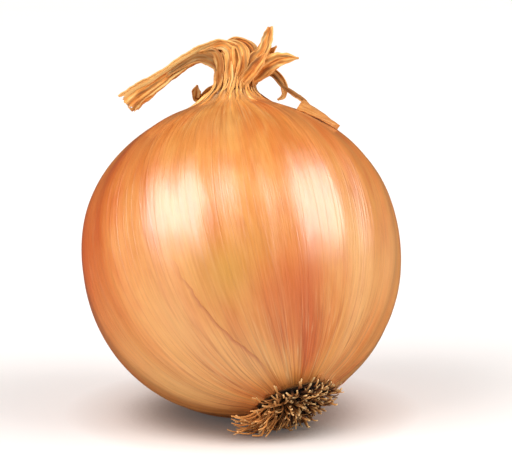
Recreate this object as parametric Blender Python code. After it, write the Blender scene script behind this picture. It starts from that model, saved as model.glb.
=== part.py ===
"""A large yellow onion, lying as it was picked: the bulb in its dry skin, the dried neck and the root tuft.

Metres, +Z up, and -Y is the front. The origin is the middle of the small flat spot that the bulb
rests on. The bulb is nearly a sphere. Its neck leans back and its roots face forward, not exactly
opposite the neck, so the veins of the skin are arcs between two poles drawn towards one side.
"""

import math
import random

import bmesh
import bpy
from mathutils import Vector

# Bulb
BULB_RADIUS = 0.0460
SHOULDER_FULLNESS = 0.0009
COLLAR_RISE = 0.0067
COLLAR_SPREAD = math.radians(8.5)
COLLAR_TOP = 0.0490
ROOT_FLAT = 0.0447
FLAT_SPOT_RADIUS = 0.0090
RIB_COUNT, RIB_HEIGHT = 18, 0.00022
PLEAT_COUNT, PLEAT_HEIGHT = 24, 0.00045
LUMP_HEIGHT = 0.0005
SKIN_STEP = 0.00035
RINGS, SEGMENTS = 34, 72

# Neck and roots
SEAT_GAP = 0.0003
NECK_RADIUS = 0.0056
ROOT_SEED = 17
BASAL_RADIUS = 0.0108
BASAL_HEIGHT = 0.0022
ROOT_COUNT = 92
ROOT_THICKNESS = 0.00105
ROOT_STEPS = 4
ROOT_CLEARANCE = 0.0009
LOWEST_ROOT = 0.0004


def leaning(lean, heading, sign):
    """The unit vector this many degrees off straight up (sign 1) or down (-1), towards a heading in plan."""
    a, h = math.radians(lean), math.radians(heading)
    return Vector((math.sin(a) * math.cos(h), math.sin(a) * math.sin(h), sign * math.cos(a)))


NECK_DIRECTION = leaning(19.8, 99.4, 1)
ROOT_DIRECTION = leaning(38.5, -59.1, -1)
AXIS = (NECK_DIRECTION - ROOT_DIRECTION).normalized()
PULL_SIDE = (NECK_DIRECTION + ROOT_DIRECTION).normalized()
PULL = math.tan(math.asin((NECK_DIRECTION + ROOT_DIRECTION).length / 2) / 2)
FRONT = (Vector((0, -1, 0)) + AXIS * AXIS.y).normalized()
RIGHT = AXIS.cross(FRONT)
CENTRE = Vector((0, 0, math.sqrt(BULB_RADIUS**2 - FLAT_SPOT_RADIUS**2)))

# The neck's own frame: side points right in plan, up runs along the neck, and depth points back.
NECK_SEAT = CENTRE + NECK_DIRECTION * (COLLAR_TOP + SEAT_GAP)
NECK_SIDE = (Vector((1, 0, 0)) - NECK_DIRECTION * NECK_DIRECTION.x).normalized()
NECK_DEPTH = NECK_DIRECTION.cross(NECK_SIDE)
ROOT_SIDE = (Vector((1, 0, 0)) - ROOT_DIRECTION * ROOT_DIRECTION.x).normalized()
ROOT_OTHER = ROOT_DIRECTION.cross(ROOT_SIDE)

# Where the outermost skin has torn away along the veins, in degrees of longitude: the middle at the
# neck's end, the half width, and the drift towards the root's end.
SKIN_WINDOWS = [(0.3, 33.8, 17.0), (128.0, 24.0, -8.0), (226.0, 30.0, 10.0)]


def smooth(low, high, x):
    """0 below low, 1 above high, and a soft step between."""
    t = min(1.0, max(0.0, (x - low) / (high - low)))
    return t * t * (3 - 2 * t)


def pulled(p):
    """A point of the unit sphere, moved over the sphere so that both poles shift towards PULL_SIDE."""
    v = PULL_SIDE * PULL
    d = v.dot(p)
    return ((1 - PULL**2) * p + 2 * (1 + d) * v) / (1 + PULL**2 + 2 * d)


def tear_line(window, side, theta):
    """How far a torn edge of the skin wanders from its meridian, in radians."""
    broad = 2.2 * math.sin(2.6 * theta + 4.0 * window + 2.0 * side)
    return math.radians(broad + 0.8 * math.sin(8.0 * theta + 2 * window + side))


def window_edges(theta):
    """Longitudes of both edges of each skin window at this polar angle."""
    narrow = smooth(math.radians(14), math.radians(62), theta)
    late = smooth(math.radians(95), math.radians(160), theta)
    edges = []
    for n, (middle, half, drift) in enumerate(SKIN_WINDOWS):
        for side in (-1, 1):
            swing = side * half * (0.25 + 0.75 * narrow) * (1 - 0.18 * late) + drift * late
            edges.append(math.radians(middle + swing) + tear_line(n, side, theta) * narrow)
    return edges


def bulb_radius(theta, longitude, bare):
    """Distance from the bulb's centre to its skin. Bare is 1 where the outermost skin is gone."""
    waist = math.sin(theta) ** 2
    fullness = SHOULDER_FULLNESS * math.exp(-(((math.degrees(theta) - 62) / 24) ** 2))
    collar = COLLAR_RISE * math.exp(-((theta / COLLAR_SPREAD) ** 2))
    lumps = LUMP_HEIGHT * waist * (math.cos(2 * longitude + 0.6) + 0.6 * math.cos(3 * longitude - 1.1))
    ribs = RIB_HEIGHT * waist * math.cos(RIB_COUNT * longitude)
    near_neck = math.exp(-(((math.degrees(theta) - 9) / 8) ** 2))
    pleats = PLEAT_HEIGHT * near_neck * math.cos(PLEAT_COUNT * longitude)
    faded = smooth(math.radians(16), math.radians(30), theta) * smooth(0, math.radians(14), math.pi - theta)
    return BULB_RADIUS + fullness + collar + lumps + ribs + pleats - SKIN_STEP * bare * faded


def bulb_point(theta, longitude, bare=0.0):
    """A point of the bulb's skin, from the polar angle off the neck and the longitude from the front."""
    across = FRONT * math.cos(longitude) + RIGHT * math.sin(longitude)
    p = pulled(AXIS * math.cos(theta) + across * math.sin(theta))
    return CENTRE + p * bulb_radius(theta, longitude, bare)


def longitudes(theta):
    """Longitude and bareness of each column of the bulb's mesh, with two close together at each torn edge."""
    edges = window_edges(theta)
    step = math.radians(0.35)
    stops = []
    for low, high in zip(edges[::2], edges[1::2]):
        stops += [(low - step, 0), (low + step, 1), (high - step, 1), (high + step, 0)]
    even = window_edges(math.pi / 2)
    columns = []
    for n, (start, bare) in enumerate(stops):
        end = stops[n + 1][0] if n + 1 < len(stops) else stops[0][0] + math.tau
        columns.append((start, bare))
        if n % 2 == 0:
            continue
        following = even[(n + 1) // 2] if n + 1 < len(stops) else even[0] + math.tau
        count = round((SEGMENTS - len(stops)) * (following - even[n // 2]) / math.tau)
        columns += [(start + (end - start) * k / (count + 1), bare) for k in range(1, count + 1)]
    return columns


def material(name, colour, roughness):
    made = bpy.data.materials.new(name)
    made.use_nodes = True
    shader = made.node_tree.nodes["Principled BSDF"]
    shader.inputs["Base Color"].default_value = (*colour, 1)
    shader.inputs["Roughness"].default_value = roughness
    shader.inputs["Metallic"].default_value = 0
    return made


def finished(name, bm, finish, crease=35):
    """Makes the object of a finished bmesh, shaded smooth with its creases kept sharp."""
    bmesh.ops.recalc_face_normals(bm, faces=bm.faces)
    mesh = bpy.data.meshes.new(name)
    bm.to_mesh(mesh)
    bm.free()
    mesh.shade_smooth()
    mesh.set_sharp_from_angle(angle=math.radians(crease))
    mesh.materials.append(finish)
    made = bpy.data.objects.new(name, mesh)
    bpy.context.scene.collection.objects.link(made)
    return made


def skin_over(bm, rings):
    """Faces between rings of points, with the first and the last ring closed by a cap."""
    loops = [[bm.verts.new(p) for p in ring] for ring in rings]
    for low, high in zip(loops, loops[1:]):
        for k in range(len(low)):
            nxt = (k + 1) % len(low)
            bm.faces.new((low[k], low[nxt], high[nxt], high[k]))
    bm.faces.new(loops[0])
    bm.faces.new(loops[-1])


def cut_flat(bm, point, outward):
    """Cuts off what lies beyond a plane and closes the cut with one flat face."""
    everything = bm.verts[:] + bm.edges[:] + bm.faces[:]
    bmesh.ops.bisect_plane(bm, geom=everything, plane_co=point, plane_no=outward, clear_outer=True, dist=1e-6)
    rim = [e for e in bm.edges if e.is_boundary]
    bmesh.ops.edgeloop_fill(bm, edges=rim)


def build_bulb(finish):
    bm = bmesh.new()
    angles = [math.radians(5.5 + 169.5 * (k / (RINGS - 1)) ** 1.12) for k in range(RINGS)]
    skin_over(bm, [[bulb_point(t, longitude, bare) for longitude, bare in longitudes(t)] for t in angles])
    cut_flat(bm, CENTRE + NECK_DIRECTION * COLLAR_TOP, NECK_DIRECTION)
    cut_flat(bm, CENTRE + ROOT_DIRECTION * ROOT_FLAT, ROOT_DIRECTION)
    cut_flat(bm, Vector((0, 0, 0)), Vector((0, 0, -1)))
    return finished("bulb", bm, finish)


def through(points, count):
    """Evenly numbered points of a smooth curve through the given ones."""
    ends = [points[0] * 2 - points[1]] + points + [points[-1] * 2 - points[-2]]
    curve = []
    for n in range(count):
        at = n / (count - 1) * (len(points) - 1)
        k = min(int(at), len(points) - 2)
        t = at - k
        a, b, c, d = ends[k : k + 4]
        bend = (2 * a - 5 * b + 4 * c - d) * t**2 + (3 * b - a - 3 * c + d) * t**3
        curve.append(0.5 * (2 * b + (c - a) * t + bend))
    return curve


def value_along(values, share):
    at = share * (len(values) - 1)
    k = min(int(at), len(values) - 2)
    return values[k] + (values[k + 1] - values[k]) * (at - k)


def swept_rings(path, side_of, half_widths, half_depths, sides, crease=0.0):
    """Rings of an oval tube along a path. Side_of gives its width's way; crease pinches every other edge."""
    rings = []
    for n, point in enumerate(path):
        share = n / (len(path) - 1)
        tangent = (path[min(n + 1, len(path) - 1)] - path[max(n - 1, 0)]).normalized()
        wide = side_of(tangent, share)
        deep = tangent.cross(wide).normalized()
        ring = []
        for k in range(sides):
            turn = math.tau * k / sides
            pinch = 1 - crease * (k % 2)
            across = wide * math.cos(turn) * value_along(half_widths, share)
            ring.append(point + pinch * (across + deep * math.sin(turn) * value_along(half_depths, share)))
        rings.append(ring)
    return rings


def in_neck(side, up, depth):
    """A place in the neck's frame, given in millimetres."""
    return NECK_SEAT + (NECK_SIDE * side + NECK_DIRECTION * up + NECK_DEPTH * depth) / 1000


# The neck's dry leaves. Each path is in the neck's frame in millimetres: side, up, depth. Widths and
# depths are half sizes in millimetres along the leaf, and turn is the twist in degrees from end to end.
LEAVES = {
    "bent_strap": {
        "path": [(0.8, 1, 0), (0.9, 5.5, -0.6), (0.6, 10.0, -0.9), (-3.2, 12.4, -1.1), (-8.0, 11.5, -1.5),
                 (-12.5, 9.4, -2.0), (-17.5, 6.1, -2.5), (-22.6, 2.8, -2.9), (-27.4, 0.2, -3.2),
                 (-31.2, -2.8, -3.4)],
        "widths": [3.6, 3.5, 3.4, 2.6, 1.9, 1.65, 1.9, 2.4, 2.8, 3.3],
        "depths": [2.6, 2.6, 2.5, 2.0, 1.5, 1.1, 1.0, 0.9, 1.0, 1.2],
        "turn": (10, 30),
        "rings": 22,
    },
    "strap_fold": {
        "path": [(-2.2, 1, -2.0), (-2.7, 4.2, -2.5), (-3.9, 7.4, -2.7), (-6.3, 9.2, -2.6), (-9.8, 9.7, -2.4),
                 (-14.2, 7.8, -2.5), (-19.0, 4.6, -2.9)],
        "widths": [2.2, 2.1, 2.0, 1.9, 1.5, 1.1, 0.6],
        "depths": [1.7, 1.7, 1.6, 1.3, 1.0, 0.8, 0.5],
        "turn": (0, -20),
        "rings": 15,
    },
    "crown_back": {
        "path": [(0.2, 1, 2.4), (-0.2, 6.0, 2.6), (-0.8, 10.4, 2.2), (1.4, 12.4, 1.0), (4.8, 11.4, 0.4),
                 (6.6, 8.2, 0.2)],
        "widths": [3.8, 3.8, 3.6, 3.2, 2.8, 1.6],
        "depths": [1.9, 1.8, 1.7, 1.7, 1.6, 1.0],
        "turn": (0, 10),
        "rings": 13,
    },
    "standing_blade": {
        "path": [(2.4, 1.8, -4.0), (3.9, 4.1, -4.5), (6.5, 7.4, -4.0), (9.0, 10.4, -3.1), (10.5, 13.6, -2.3),
                 (11.3, 16.2, -1.6), (11.9, 18.2, -1.1)],
        "widths": [2.2, 2.2, 2.2, 1.9, 1.7, 1.5, 0.6],
        "depths": [1.3, 1.2, 1.0, 0.8, 0.6, 0.5, 0.35],
        "turn": (0, 30),
        "rings": 15,
    },
    "right_tag": {
        "path": [(3.0, 2.6, -1.4), (6.2, 3.6, -2.5), (9.4, 5.7, -2.9), (12.4, 7.5, -2.9), (16.0, 8.2, -2.9),
                 (19.5, 8.2, -2.8)],
        "widths": [2.3, 2.5, 2.5, 2.2, 1.5, 0.35],
        "depths": [1.6, 1.3, 1.0, 0.8, 0.6, 0.35],
        "turn": (0, -15),
        "rings": 13,
    },
    "upper_nib": {
        "path": [(6.2, 5.0, 0.6), (8.8, 8.2, 0.0), (11.2, 10.4, -0.8), (13.3, 12.3, -1.2)],
        "widths": [1.8, 1.7, 1.3, 0.35],
        "depths": [1.0, 0.8, 0.6, 0.35],
        "turn": (0, 20),
        "rings": 9,
    },
    "front_leaf": {
        "path": [(3.4, 1.9, -4.4), (4.8, 3.3, -5.0), (6.4, 4.9, -5.3), (8.2, 7.2, -5.1), (9.8, 9.6, -4.7)],
        "widths": [1.3, 1.5, 1.6, 1.3, 0.35],
        "depths": [1.1, 1.0, 0.9, 0.7, 0.35],
        "turn": (0, 15),
        "rings": 11,
    },
    "front_pleat": {
        "path": [(0.8, 0.8, -4.9), (1.9, 3.4, -4.9), (3.0, 7.0, -4.6), (3.1, 10.8, -3.6), (1.4, 13.2, -1.8)],
        "widths": [1.1, 1.1, 1.2, 1.2, 0.9],
        "depths": [1.0, 0.9, 1.0, 0.9, 0.8],
        "turn": (0, -15),
        "rings": 10,
    },
    "middle_pleat": {
        "path": [(-1.5, 0.7, -4.6), (-1.0, 3.8, -4.6), (-0.4, 7.4, -4.3), (-0.6, 11.0, -3.4),
                 (-2.6, 12.9, -2.0)],
        "widths": [1.0, 1.0, 1.1, 1.1, 0.8],
        "depths": [1.0, 0.9, 1.0, 0.9, 0.8],
        "turn": (0, -15),
        "rings": 10,
    },
    "side_pleat": {
        "path": [(-3.2, 0.6, -2.4), (-3.2, 4.0, -2.6), (-3.3, 8.0, -2.6), (-4.8, 11.2, -2.2)],
        "widths": [1.4, 1.3, 1.4, 1.0],
        "depths": [1.2, 1.1, 1.2, 0.9],
        "turn": (50, 40),
        "rings": 9,
    },
    "low_curl": {
        "path": [(-3.0, 2.0, 3.0), (-6.4, 1.2, 4.2), (-9.2, -0.6, 4.4), (-10.7, -0.9, 3.9), (-10.6, 1.0, 3.4),
                 (-10.2, 2.9, 3.0)],
        "widths": [1.6, 1.3, 1.0, 1.0, 1.3, 0.35],
        "depths": [0.7, 0.5, 0.4, 0.4, 0.4, 0.3],
        "turn": (0, 0),
        "rings": 13,
    },
    "hanging_curl": {
        "path": [(5.4, 2.6, 0.6), (9.0, 5.2, 1.1), (12.2, 5.3, 1.5), (14.1, 3.2, 1.5), (15.0, 0.6, 1.5),
                 (14.6, -1.9, 1.5), (12.9, -2.9, 1.4)],
        "widths": [1.1, 0.9, 0.8, 0.9, 0.9, 0.8, 0.35],
        "depths": [0.8, 0.6, 0.5, 0.45, 0.4, 0.4, 0.3],
        "turn": (0, 20),
        "rings": 16,
    },
    "shoulder_strip": {
        "path": [(5.2, 1.6, 2.6), (8.6, 4.6, 2.4), (11.6, 4.6, 1.6), (14.6, 0.7, 0.4), (17.0, -1.6, -1.6),
                 (19.0, -3.6, -3.8), (20.6, -5.4, -6.2)],
        "widths": [1.1, 0.8, 0.6, 0.55, 0.6, 0.8, 0.7],
        "depths": [0.9, 0.6, 0.45, 0.4, 0.4, 0.4, 0.4],
        "turn": (0, 30),
        "rings": 16,
    },
}

# The strip ends in a flap of skin that lies on the shoulder: its edge on the skin and its raised edge.
FLAP_LOW = [(17.1, -8.6, -18.4), (19.8, -9.6, -17.6), (23.0, -10.7, -16.0), (27.0, -12.2, -12.6)]
FLAP_LOW.append((29.8, -13.5, -10.2))
FLAP_TOP = [(20.4, -4.6, -5.4), (22.2, -6.3, -6.0), (24.6, -8.5, -6.6), (27.5, -11.1, -7.6)]
FLAP_TOP.append((30.0, -13.2, -9.4))
FLAP_DEPTHS = [0.36, 0.36, 0.34, 0.32, 0.30]


def leaf_rings(leaf, sides=12):
    path = through([in_neck(*p) for p in leaf["path"]], leaf["rings"])
    start, end = (math.radians(a) for a in leaf["turn"])

    def side_of(tangent, share):
        across = tangent.cross(NECK_DEPTH).normalized()
        back = across.cross(tangent)
        angle = start + (end - start) * share
        return across * math.cos(angle) + back * math.sin(angle)

    sizes = [[v / 1000 for v in leaf[key]] for key in ("widths", "depths")]
    return swept_rings(path, side_of, *sizes, sides, crease=0.16)


def flap_rings(count=11, sides=8):
    """Rings of the thin flap between its two edges."""
    lows, tops = (through([in_neck(*p) for p in edge], count) for edge in (FLAP_LOW, FLAP_TOP))
    path = [(low + top) / 2 for low, top in zip(lows, tops)]
    half_widths = [(top - low).length / 2 for low, top in zip(lows, tops)]

    def side_of(tangent, share):
        n = round(share * (count - 1))
        return (tops[n] - lows[n]).normalized()

    return swept_rings(path, side_of, half_widths, [v / 1000 for v in FLAP_DEPTHS], sides)


def column_rings(sides=36):
    """The pinched column that the leaves grow from, pleated all round."""
    levels = [(0.0, 1.0), (1.4, 0.99), (3.0, 0.95), (5.0, 0.91), (7.5, 0.89), (10.0, 0.84), (12.0, 0.64)]
    levels.append((13.2, 0.30))
    rings = []
    for up, share in levels:
        ring = []
        for k in range(sides):
            turn = math.tau * k / sides + 0.03 * up
            pleat = 1 + 0.07 * math.cos(12 * math.tau * k / sides) * min(1.0, 0.3 + up / 3)
            radius = NECK_RADIUS * 1000 * share * pleat
            lean = 0.8 + 0.02 * up
            ring.append(in_neck(radius * math.cos(turn) + lean, up, radius * math.sin(turn)))
        rings.append(ring)
    return rings


def union_with(body, others):
    """Fuses the other objects into the body and removes them."""
    group = bpy.data.collections.new("joined_pieces")
    bpy.context.scene.collection.children.link(group)
    for other in others:
        bpy.context.scene.collection.objects.unlink(other)
        group.objects.link(other)
    join = body.modifiers.new("join", "BOOLEAN")
    join.operation = "UNION"
    join.operand_type = "COLLECTION"
    join.collection = group
    join.solver = "MANIFOLD"
    bpy.context.view_layer.update()
    graph = bpy.context.evaluated_depsgraph_get()
    fused = bpy.data.meshes.new_from_object(body.evaluated_get(graph))
    body.modifiers.clear()
    body.data = fused
    for other in others:
        bpy.data.objects.remove(other)
    bpy.data.collections.remove(group)
    return body


def solid_from(name, rings, finish):
    bm = bmesh.new()
    skin_over(bm, rings)
    return finished(name, bm, finish)


def build_neck(finish):
    column = solid_from("neck", column_rings(), finish)
    leaves = [solid_from(name, leaf_rings(leaf), finish) for name, leaf in LEAVES.items()]
    leaves.append(solid_from("shoulder_flap", flap_rings(), finish))
    return union_with(column, leaves)


def clear_of_all(point):
    """The point, moved straight out of the bulb's reach and up off the table where it is too near either."""
    away = point - CENTRE
    least = BULB_RADIUS + LUMP_HEIGHT + RIB_HEIGHT + ROOT_CLEARANCE
    if away.length < least:
        point = CENTRE + away.normalized() * least
    return Vector((point.x, point.y, max(point.z, LOWEST_ROOT + ROOT_THICKNESS / 2)))


def root_path(rng, number):
    """One dead root: it leaves the basal plate, spreads outwards, curls, and lies down on the table."""
    radius = BASAL_RADIUS * 0.93 * math.sqrt((number + 0.5) / ROOT_COUNT)
    turn = number * math.radians(137.508) + rng.uniform(-0.2, 0.2)
    outward = ROOT_SIDE * math.cos(turn) + ROOT_OTHER * math.sin(turn)
    spread = radius / BASAL_RADIUS
    points = [CENTRE + ROOT_DIRECTION * (ROOT_FLAT + SEAT_GAP + 0.0007) + outward * radius]
    heading = (ROOT_DIRECTION + outward * (0.25 + 1.1 * spread**2)).normalized()
    across = ROOT_DIRECTION.cross(outward)
    sideways = across * rng.uniform(-1, 1)
    length = rng.uniform(0.0040, 0.0062) + 0.0030 * spread
    stride = length * (1 - 0.42 * outward.dot(ROOT_SIDE)) / ROOT_STEPS
    for k in range(ROOT_STEPS):
        curl = sideways * 0.42 + outward * rng.uniform(-0.15, 0.5) - ROOT_DIRECTION * 0.16 * k * spread
        heading = (heading + curl * 0.5).normalized()
        point = points[-1] + heading * stride
        for _ in range(3 if k else 0):
            point = points[-1] + (clear_of_all(point) - points[-1]).normalized() * stride
            heading = (point - points[-1]).normalized()
        points.append(clear_of_all(point) if k else point)
    return points, across


def root_rings(path, across, rng):
    half = ROOT_THICKNESS / 2 * rng.uniform(0.85, 1.25)

    def side_of(tangent, share):
        return (across - tangent * tangent.dot(across)).normalized()

    return swept_rings(path, side_of, [half, half * 0.9, half * 0.6], [half, half * 0.9, half * 0.6], 4)


def basal_rings(sides=26):
    """The hard round plate that the roots grow from, domed and a little uneven."""
    levels = [(0.0, 0.96), (0.30, 1.0), (0.62, 0.92), (0.86, 0.70), (1.0, 0.34)]
    rings = []
    for height, share in levels:
        middle = CENTRE + ROOT_DIRECTION * (ROOT_FLAT + SEAT_GAP + BASAL_HEIGHT * height)
        ring = []
        for k in range(sides):
            turn = math.tau * k / sides
            uneven = 1 + 0.05 * math.sin(3 * turn) + 0.03 * math.sin(7 * turn + 1)
            outward = ROOT_SIDE * math.cos(turn) + ROOT_OTHER * math.sin(turn)
            ring.append(middle + outward * BASAL_RADIUS * share * uneven)
        rings.append(ring)
    return rings


def build_roots(finish):
    rng = random.Random(ROOT_SEED)
    plate = solid_from("root_tuft", basal_rings(), finish)
    roots = []
    for number in range(ROOT_COUNT):
        path, across = root_path(rng, number)
        roots.append(solid_from(f"root_{number}", root_rings(path, across, rng), finish))
    return union_with(plate, roots)


def main():
    for old in list(bpy.data.objects):
        bpy.data.objects.remove(old)
    skin = material("dry_golden_skin", (0.66, 0.30, 0.085), 0.36)
    leaf = material("dried_leaf", (0.52, 0.30, 0.13), 0.72)
    root = material("dead_root", (0.30, 0.19, 0.10), 0.85)
    build_bulb(skin)
    build_neck(leaf)
    build_roots(root)


main()
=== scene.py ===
import math
import random

import bpy
from mathutils import Matrix, Vector, noise


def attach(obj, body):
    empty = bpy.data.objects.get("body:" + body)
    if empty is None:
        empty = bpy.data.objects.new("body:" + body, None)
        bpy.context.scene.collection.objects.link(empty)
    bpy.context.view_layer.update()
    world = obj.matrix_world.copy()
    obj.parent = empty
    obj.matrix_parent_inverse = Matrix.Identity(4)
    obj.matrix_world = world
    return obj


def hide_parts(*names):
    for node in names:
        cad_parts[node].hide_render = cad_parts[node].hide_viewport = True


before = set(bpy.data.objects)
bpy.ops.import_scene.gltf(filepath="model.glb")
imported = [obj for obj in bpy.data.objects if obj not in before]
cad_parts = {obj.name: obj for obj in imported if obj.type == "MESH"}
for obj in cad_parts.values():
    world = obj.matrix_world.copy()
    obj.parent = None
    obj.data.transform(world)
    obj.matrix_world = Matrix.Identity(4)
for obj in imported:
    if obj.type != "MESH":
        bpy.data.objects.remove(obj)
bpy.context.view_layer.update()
print("frame loaded:", sorted(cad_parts))


def hexToLinear(code):
    parts = [int(code[k : k + 2], 16) / 255 for k in (0, 2, 4)]
    return [c / 12.92 if c <= 0.04045 else ((c + 0.055) / 1.055) ** 2.4 for c in parts] + [1]


def softStep(low, high, x):
    t = min(1.0, max(0.0, (x - low) / (high - low)))
    return t * t * (3 - 2 * t)


# the value of a list that is read as a smooth run from its first to its last entry
def between(values, share):
    at = min(max(share, 0.0), 1.0) * (len(values) - 1)
    k = min(int(at), len(values) - 2)
    t = at - k
    t = t * t * (3 - 2 * t)
    return values[k] + (values[k + 1] - values[k]) * t


def addNode(tree, kind, settings={}, inputs={}):
    node = tree.nodes.new(kind)
    for key, value in settings.items():
        if key == "stops":
            ramp = node.color_ramp
            for n, (at, colour) in enumerate(value):
                stop = ramp.elements[n] if n < 2 else ramp.elements.new(at)
                stop.position = at
                stop.color = hexToLinear(colour) if isinstance(colour, str) else (colour, colour, colour, 1)
        else:
            setattr(node, key, value)
    for key, value in inputs.items():
        if isinstance(value, bpy.types.NodeSocket):
            tree.links.new(value, node.inputs[key])
        else:
            node.inputs[key].default_value = value
    return node


def emptyMaterial(name):
    made = bpy.data.materials.new(name)
    made.use_nodes = True
    made.node_tree.nodes.clear()
    return made, made.node_tree


def pickNone():
    if bpy.context.object and bpy.context.object.mode != "OBJECT":
        bpy.ops.object.mode_set(mode="OBJECT")
    bpy.ops.object.select_all(action="DESELECT")


def pickOnly(piece):
    pickNone()
    piece.select_set(True)
    bpy.context.view_layer.objects.active = piece


# a flat grid to be shaped: its points keep their shares across and along, from 0 to 1
def newSheet(name, across, along):
    pickNone()
    bpy.ops.mesh.primitive_grid_add(x_subdivisions=across, y_subdivisions=along, size=1, location=(0, 0, 0))
    sheet = bpy.context.object
    sheet.name = sheet.data.name = name
    return sheet, [(v.co.x + 0.5, v.co.y + 0.5) for v in sheet.data.vertices]


# an upright tube to be shaped: its points keep their turn, share of the height and distance from the axis
def newTube(name, around, along):
    pickNone()
    bpy.ops.mesh.primitive_cylinder_add(vertices=around, radius=1, depth=1, location=(0, 0, 0), end_fill_type="TRIFAN")
    tube = bpy.context.object
    tube.name = tube.data.name = name
    bpy.ops.object.mode_set(mode="EDIT")
    bpy.ops.mesh.select_mode(type="EDGE")
    bpy.ops.mesh.select_all(action="DESELECT")
    bpy.ops.object.mode_set(mode="OBJECT")
    for edge in tube.data.edges:
        low, high = (tube.data.vertices[k].co for k in edge.vertices)
        edge.select = abs(low.z - high.z) > 0.5
    bpy.ops.object.mode_set(mode="EDIT")
    bpy.ops.mesh.subdivide(number_cuts=along - 1)
    bpy.ops.object.mode_set(mode="OBJECT")
    return tube, [(math.atan2(v.co.y, v.co.x), v.co.z + 0.5, math.hypot(v.co.x, v.co.y)) for v in tube.data.vertices]


def placePoints(piece, points):
    flat = [c for p in points for c in p]
    piece.data.vertices.foreach_set("co", flat)
    piece.data.update()


# one vector per point, for the materials to read
def keepPattern(piece, name, values):
    held = piece.data.attributes.new(name, "FLOAT_VECTOR", "POINT")
    held.data.foreach_set("vector", [c for v in values for c in v])


def applyAll(piece):
    pickOnly(piece)
    for modifier in list(piece.modifiers):
        bpy.ops.object.modifier_apply(modifier=modifier.name)


def giveThickness(piece, thickness, offset=-1):
    wall = piece.modifiers.new("wall", "SOLIDIFY")
    wall.thickness = thickness
    wall.offset = offset
    applyAll(piece)


def finishPiece(piece, material, node, angle=60):
    pickOnly(piece)
    piece.data.materials.clear()
    piece.data.materials.append(material)
    bpy.ops.object.shade_smooth_by_angle(angle=math.radians(angle))
    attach(piece, "root")
    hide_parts(node)


bulb = {
    "radius": 0.0460,
    "shoulder": 0.0009,
    "shoulderAt": (62, 24),  # middle and spread, degrees from the neck
    "collarRise": 0.0067,
    "collarSpread": math.radians(8.5),
    "collarTop": 0.0490,
    "rootFlat": 0.0447,
    "flatSpot": 0.0090,
    "ribs": 18,
    "ribHeight": 0.00022,
    "pleatHeight": 0.00045,
    "pleatsAt": (9, 8),
    "facetHollow": 0.00017,
    "lump": 0.0005,
    "skinDrop": 0.00014,
    "around": 384,
    "along": 200,
}


def leaning(lean, heading, sign):
    a, h = math.radians(lean), math.radians(heading)
    return Vector((math.sin(a) * math.cos(h), math.sin(a) * math.sin(h), sign * math.cos(a)))


neckDirection = leaning(19.8, 99.4, 1)
rootDirection = leaning(38.5, -59.1, -1)
axis = (neckDirection - rootDirection).normalized()
pullSide = (neckDirection + rootDirection).normalized()
pull = math.tan(math.asin((neckDirection + rootDirection).length / 2) / 2)
frontWay = (Vector((0, -1, 0)) + axis * axis.y).normalized()
rightWay = axis.cross(frontWay)
centre = Vector((0, 0, math.sqrt(bulb["radius"] ** 2 - bulb["flatSpot"] ** 2)))
neckSeat = centre + neckDirection * bulb["collarTop"]
neckSide = (Vector((1, 0, 0)) - neckDirection * neckDirection.x).normalized()
neckDepth = neckDirection.cross(neckSide)
rootSide = (Vector((1, 0, 0)) - rootDirection * rootDirection.x).normalized()
rootOther = rootDirection.cross(rootSide)


def pulled(p):
    v = pullSide * pull
    d = v.dot(p)
    return ((1 - pull**2) * p + 2 * (1 + d) * v) / (1 + pull**2 + 2 * d)


def hump(theta, at):
    return math.exp(-(((math.degrees(theta) - at[0]) / at[1]) ** 2))


# a point of the skin: theta from the neck, turn from the front, lift in metres
def onSkin(theta, turn, lift=0.0):
    waist = math.sin(theta) ** 2
    fullness = bulb["shoulder"] * hump(theta, bulb["shoulderAt"])
    collar = bulb["collarRise"] * math.exp(-((theta / bulb["collarSpread"]) ** 2))
    lumps = bulb["lump"] * waist * (math.cos(2 * turn + 0.6) + 0.6 * math.cos(3 * turn - 1.1))
    ribs = bulb["ribHeight"] * waist * math.cos(bulb["ribs"] * turn)
    pleats = bulb["pleatHeight"] * hump(theta, bulb["pleatsAt"]) * gathers(turn)
    radius = bulb["radius"] + fullness + collar + lumps + ribs + pleats + facets(theta, turn) + lift
    across = frontWay * math.cos(turn) + rightWay * math.sin(turn)
    return centre + pulled(axis * math.cos(theta) + across * math.sin(theta)) * radius


# uneven gathers of the dry skin round the neck, and flat facets where it dried taut between veins
dice = random.Random(5)
gatherTurns = [(dice.uniform(0, math.tau), dice.uniform(0.5, 1.0), dice.choice((13, 19, 24, 31, 37)))
               for _ in range(7)]
facetTurns = [math.radians(k) for k in
              (4, 20, 37, 58, 82, 104, 131, 152, 176, 199, 226, 249, 277, 300, 326.5, 343.5)]
facetHeights = [dice.uniform(-0.00008, 0.00010) for _ in facetTurns]


def gathers(turn):
    total = sum(w * math.cos(n * turn + a) for a, w, n in gatherTurns)
    return 1.1 * total / 3.2


def facets(theta, turn):
    sway = turn + 0.05 * math.sin(2.3 * theta + 1) + 0.02 * math.sin(7 * theta)
    at = sway % math.tau
    k = max([i for i, f in enumerate(facetTurns) if f <= at], default=-1)
    low = facetTurns[k] - (math.tau if k < 0 else 0)
    high = facetTurns[(k + 1) % len(facetTurns)] + (math.tau if k + 1 >= len(facetTurns) else 0)
    t = (at - low) / (high - low)
    height = facetHeights[k] * (1 - t) + facetHeights[(k + 1) % len(facetTurns)] * t
    height *= math.sin(theta) ** 0.5 * (0.6 + 0.4 * math.sin(1.7 * theta + 5 * low))
    return height - bulb["facetHollow"] * math.sin(math.pi * t) * math.sin(theta)


# where the outermost skin has torn away, in degrees: middle at the neck, half width, drift towards the root
skinWindows = [(0.3, 33.8, 17.0), (128.0, 24.0, -8.0), (226.0, 30.0, 10.0)]


def degreeStep(low, high, theta):
    return softStep(math.radians(low), math.radians(high), theta)


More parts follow.
